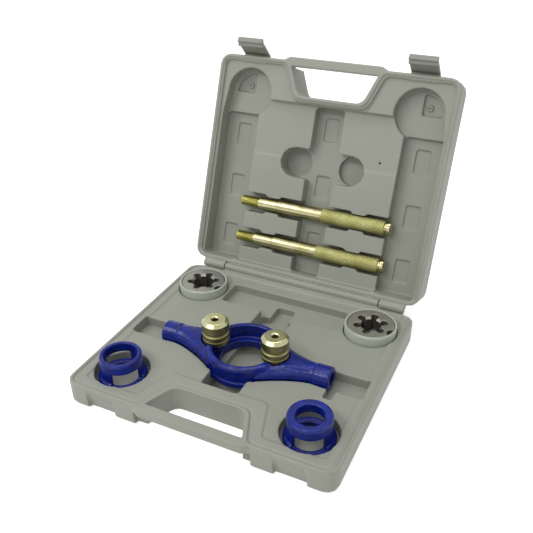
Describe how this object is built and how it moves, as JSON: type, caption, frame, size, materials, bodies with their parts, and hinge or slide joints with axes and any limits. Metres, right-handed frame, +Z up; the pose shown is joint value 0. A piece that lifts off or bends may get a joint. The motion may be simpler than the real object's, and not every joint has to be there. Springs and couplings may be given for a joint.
{
  "type": "pipe threading set in case",
  "caption": "Hand pipe threading set in an open moulded case: die stock with screw clamps, round dies in cups, pipe guides and screw-in handles.",
  "frame": {"origin": "middle of the flat underside of the case base", "axes": "+X to the right along the front of the case, +Y from the carrying handle to the hinge, +Z up out of the base"},
  "size_m": [0.23, 0.3106, 0.2327],
  "materials": {
    "case_plastic": "blow-moulded grey plastic, fine matt grain",
    "latch_plastic": "injection-moulded grey plastic",
    "cup_plastic": "pale grey plastic",
    "pin_steel": "drawn steel wire",
    "blue_paint": "gloss blue enamel over a rough casting",
    "yellow_zinc": "turned steel, yellow-passivated zinc plate",
    "die_steel": "ground tool steel, dark in the flutes"
  },
  "bodies": {
    "base": {"case_base": "case_plastic", "hinge_pin": "pin_steel"},
    "lid": {"case_lid": "case_plastic", "latch_pin_left": "pin_steel", "latch_pin_right": "pin_steel"},
    "latch_left": {"latch_left": "latch_plastic"},
    "latch_right": {"latch_right": "latch_plastic"},
    "stock": {"die_stock": "blue_paint", "clamp_stud_left": "yellow_zinc", "clamp_stud_right": "yellow_zinc"},
    "clamp_collar_left": {"clamp_collar_left": "yellow_zinc"},
    "clamp_nut_left": {"clamp_nut_left": "yellow_zinc"},
    "die_left": {"die_left": "die_steel", "die_cup_left": "cup_plastic"},
    "pipe_guide_left": {"pipe_guide_left": "blue_paint"},
    "clamp_collar_right": {"clamp_collar_right": "yellow_zinc"},
    "clamp_nut_right": {"clamp_nut_right": "yellow_zinc"},
    "die_right": {"die_right": "die_steel", "die_cup_right": "cup_plastic"},
    "pipe_guide_right": {"pipe_guide_right": "blue_paint"},
    "handle_upper": {"handle_upper": "yellow_zinc"},
    "handle_lower": {"handle_lower": "yellow_zinc"}
  },
  "joints": [
    {"name": "lid_hinge", "type": "hinge", "parent": "base", "child": "lid", "pos_m": [0, 0.1046, 0.0242], "axis": [-1, 0, 0], "range_deg": [-111.6, 0]},
    {"name": "latch_left_swing", "type": "hinge", "parent": "lid", "child": "latch_left", "pos_m": [-0.081, 0.18485, 0.21033], "axis": [-1, 0, 0], "range_deg": [-23, 60]},
    {"name": "latch_right_swing", "type": "hinge", "parent": "lid", "child": "latch_right", "pos_m": [0.081, 0.18485, 0.21033], "axis": [-1, 0, 0], "range_deg": [-23, 60]},
    {"name": "stock_lift", "type": "slide", "parent": "base", "child": "stock", "axis": [0, 0, 1], "range_m": [0, 0.04]},
    {"name": "clamp_left_rise", "type": "slide", "parent": "stock", "child": "clamp_collar_left", "axis": [0, 0, 1], "range_m": [0, 0.006]},
    {"name": "clamp_left_turn", "type": "hinge", "parent": "clamp_collar_left", "child": "clamp_nut_left", "pos_m": [-0.0275, -0.0083, 0.0433], "axis": [0, 0, 1], "range_deg": [0, 1440]},
    {"name": "die_left_lift", "type": "slide", "parent": "base", "child": "die_left", "axis": [0, 0, 1], "range_m": [0, 0.03]},
    {"name": "guide_left_lift", "type": "slide", "parent": "base", "child": "pipe_guide_left", "axis": [0, 0, 1], "range_m": [0, 0.035]},
    {"name": "clamp_right_rise", "type": "slide", "parent": "stock", "child": "clamp_collar_right", "axis": [0, 0, 1], "range_m": [0, 0.006]},
    {"name": "clamp_right_turn", "type": "hinge", "parent": "clamp_collar_right", "child": "clamp_nut_right", "pos_m": [0.0275, -0.0083, 0.0433], "axis": [0, 0, 1], "range_deg": [0, 1440]},
    {"name": "die_right_lift", "type": "slide", "parent": "base", "child": "die_right", "axis": [0, 0, 1], "range_m": [0, 0.03]},
    {"name": "guide_right_lift", "type": "slide", "parent": "base", "child": "pipe_guide_right", "axis": [0, 0, 1], "range_m": [0, 0.035]},
    {"name": "handle_upper_lift", "type": "slide", "parent": "lid", "child": "handle_upper", "axis": [0, -0.9298, 0.3681], "range_m": [0, 0.03]},
    {"name": "handle_lower_lift", "type": "slide", "parent": "lid", "child": "handle_lower", "axis": [0, -0.9298, 0.3681], "range_m": [0, 0.03]}
  ],
  "couplings": [
    {"joint": "clamp_left_turn", "follows": "clamp_left_rise", "rad_per_m": 4188.8},
    {"joint": "clamp_right_turn", "follows": "clamp_right_rise", "rad_per_m": 4188.8}
  ]
}
